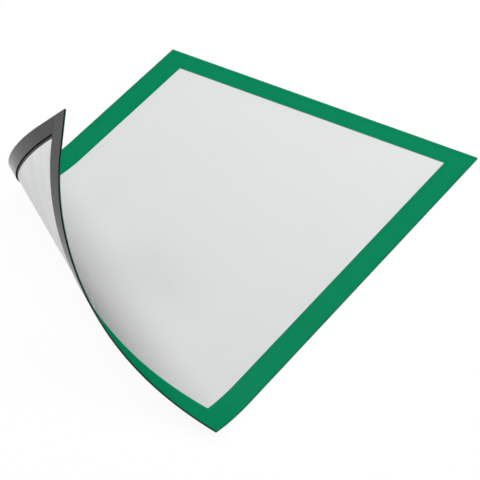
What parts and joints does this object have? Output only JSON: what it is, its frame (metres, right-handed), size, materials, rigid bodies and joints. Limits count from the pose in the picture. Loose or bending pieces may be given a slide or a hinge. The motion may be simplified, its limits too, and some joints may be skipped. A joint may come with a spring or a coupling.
{
  "type": "magnetic display frame",
  "caption": "Flexible magnetic frame for a sheet of paper: coloured border, clear film front and magnetic strips behind, shown with a corner peeled back.",
  "frame": {"origin": "middle of the frame's back plane as it lies flat, midway between its long and short sides", "axes": "+Y along the long sides, +X across the frame, +Z out of the front face; the curled corner is at -X, -Y"},
  "size_m": [0.2364, 0.3229, 0.119],
  "materials": {
    "clear_film": "clear anti-glare plastic film",
    "green_border": "satin green plastic layer",
    "paper": "plain uncoated white paper",
    "tape": "clear double-sided tape",
    "magnetic_rubber": "dark grey flexible magnet, smooth"
  },
  "bodies": {
    "flat_sheet": {"front_film": "clear_film", "colour_border": "green_border", "insert_sheet": "paper", "strip_tape": "tape", "left_magnet_strip": "magnetic_rubber", "right_magnet_strip": "magnetic_rubber", "top_magnet_strip": "magnetic_rubber"},
    "curl_1": {"front_film_curl_1": "clear_film", "colour_border_curl_1": "green_border", "insert_sheet_curl_1": "paper", "strip_tape_curl_1": "tape", "left_magnet_strip_curl_1": "magnetic_rubber", "right_magnet_strip_curl_1": "magnetic_rubber", "bottom_magnet_strip_curl_1": "magnetic_rubber"},
    "curl_2": {"front_film_curl_2": "clear_film", "colour_border_curl_2": "green_border", "insert_sheet_curl_2": "paper", "strip_tape_curl_2": "tape", "left_magnet_strip_curl_2": "magnetic_rubber", "bottom_magnet_strip_curl_2": "magnetic_rubber"},
    "curl_3": {"front_film_curl_3": "clear_film", "colour_border_curl_3": "green_border", "insert_sheet_curl_3": "paper", "strip_tape_curl_3": "tape", "left_magnet_strip_curl_3": "magnetic_rubber", "bottom_magnet_strip_curl_3": "magnetic_rubber"},
    "curl_4": {"front_film_curl_4": "clear_film", "colour_border_curl_4": "green_border", "insert_sheet_curl_4": "paper", "strip_tape_curl_4": "tape", "left_magnet_strip_curl_4": "magnetic_rubber", "bottom_magnet_strip_curl_4": "magnetic_rubber"},
    "curl_5": {"front_film_curl_5": "clear_film", "colour_border_curl_5": "green_border", "insert_sheet_curl_5": "paper", "strip_tape_curl_5": "tape", "left_magnet_strip_curl_5": "magnetic_rubber", "bottom_magnet_strip_curl_5": "magnetic_rubber"},
    "curl_6": {"front_film_curl_6": "clear_film", "colour_border_curl_6": "green_border", "insert_sheet_curl_6": "paper", "strip_tape_curl_6": "tape", "left_magnet_strip_curl_6": "magnetic_rubber", "bottom_magnet_strip_curl_6": "magnetic_rubber"},
    "curl_7": {"front_film_curl_7": "clear_film", "colour_border_curl_7": "green_border", "insert_sheet_curl_7": "paper", "strip_tape_curl_7": "tape", "left_magnet_strip_curl_7": "magnetic_rubber", "bottom_magnet_strip_curl_7": "magnetic_rubber"},
    "curl_tip": {"front_film_curl_tip": "clear_film", "colour_border_curl_tip": "green_border", "insert_sheet_curl_tip": "paper", "strip_tape_curl_tip": "tape", "left_magnet_strip_curl_tip": "magnetic_rubber", "bottom_magnet_strip_curl_tip": "magnetic_rubber"}
  },
  "joints": [
    {"name": "corner_unroll", "type": "hinge", "parent": "flat_sheet", "child": "curl_1", "pos_m": [-0.00008, -0.05943, 0.00084], "axis": [0.8254, -0.5645, 0.0001], "range_deg": [0, 15]},
    {"name": "unroll_2", "type": "hinge", "parent": "curl_1", "child": "curl_2", "pos_m": [-0.00385, -0.08175, 0.00623], "axis": [0.8204, -0.5718, 0.0027], "range_deg": [0, 15]},
    {"name": "unroll_3", "type": "hinge", "parent": "curl_2", "child": "curl_3", "pos_m": [-0.01929, -0.08896, 0.01464], "axis": [0.8111, -0.5847, 0.0121], "range_deg": [0, 15]},
    {"name": "unroll_4", "type": "hinge", "parent": "curl_3", "child": "curl_4", "pos_m": [-0.03195, -0.0929, 0.02512], "axis": [0.7993, -0.6001, 0.0319], "range_deg": [0, 15]},
    {"name": "unroll_5", "type": "hinge", "parent": "curl_4", "child": "curl_5", "pos_m": [-0.04249, -0.0942, 0.03766], "axis": [0.7869, -0.6138, 0.0639], "range_deg": [0, 15]},
    {"name": "unroll_6", "type": "hinge", "parent": "curl_5", "child": "curl_6", "pos_m": [-0.05076, -0.09295, 0.05261], "axis": [0.7765, -0.6207, 0.1084], "range_deg": [0, 15]},
    {"name": "unroll_7", "type": "hinge", "parent": "curl_6", "child": "curl_7", "pos_m": [-0.0559, -0.08882, 0.07], "axis": [0.7707, -0.6159, 0.1634], "range_deg": [0, 15]},
    {"name": "unroll_tip", "type": "hinge", "parent": "curl_7", "child": "curl_tip", "pos_m": [-0.05651, -0.08151, 0.08931], "axis": [0.7716, -0.5951, 0.2246], "range_deg": [0, 15]}
  ],
  "couplings": [
    {"joint": "unroll_2", "follows": "corner_unroll", "ratio": 1},
    {"joint": "unroll_3", "follows": "corner_unroll", "ratio": 1},
    {"joint": "unroll_4", "follows": "corner_unroll", "ratio": 1},
    {"joint": "unroll_5", "follows": "corner_unroll", "ratio": 1},
    {"joint": "unroll_6", "follows": "corner_unroll", "ratio": 1},
    {"joint": "unroll_7", "follows": "corner_unroll", "ratio": 1},
    {"joint": "unroll_tip", "follows": "corner_unroll", "ratio": 1}
  ]
}
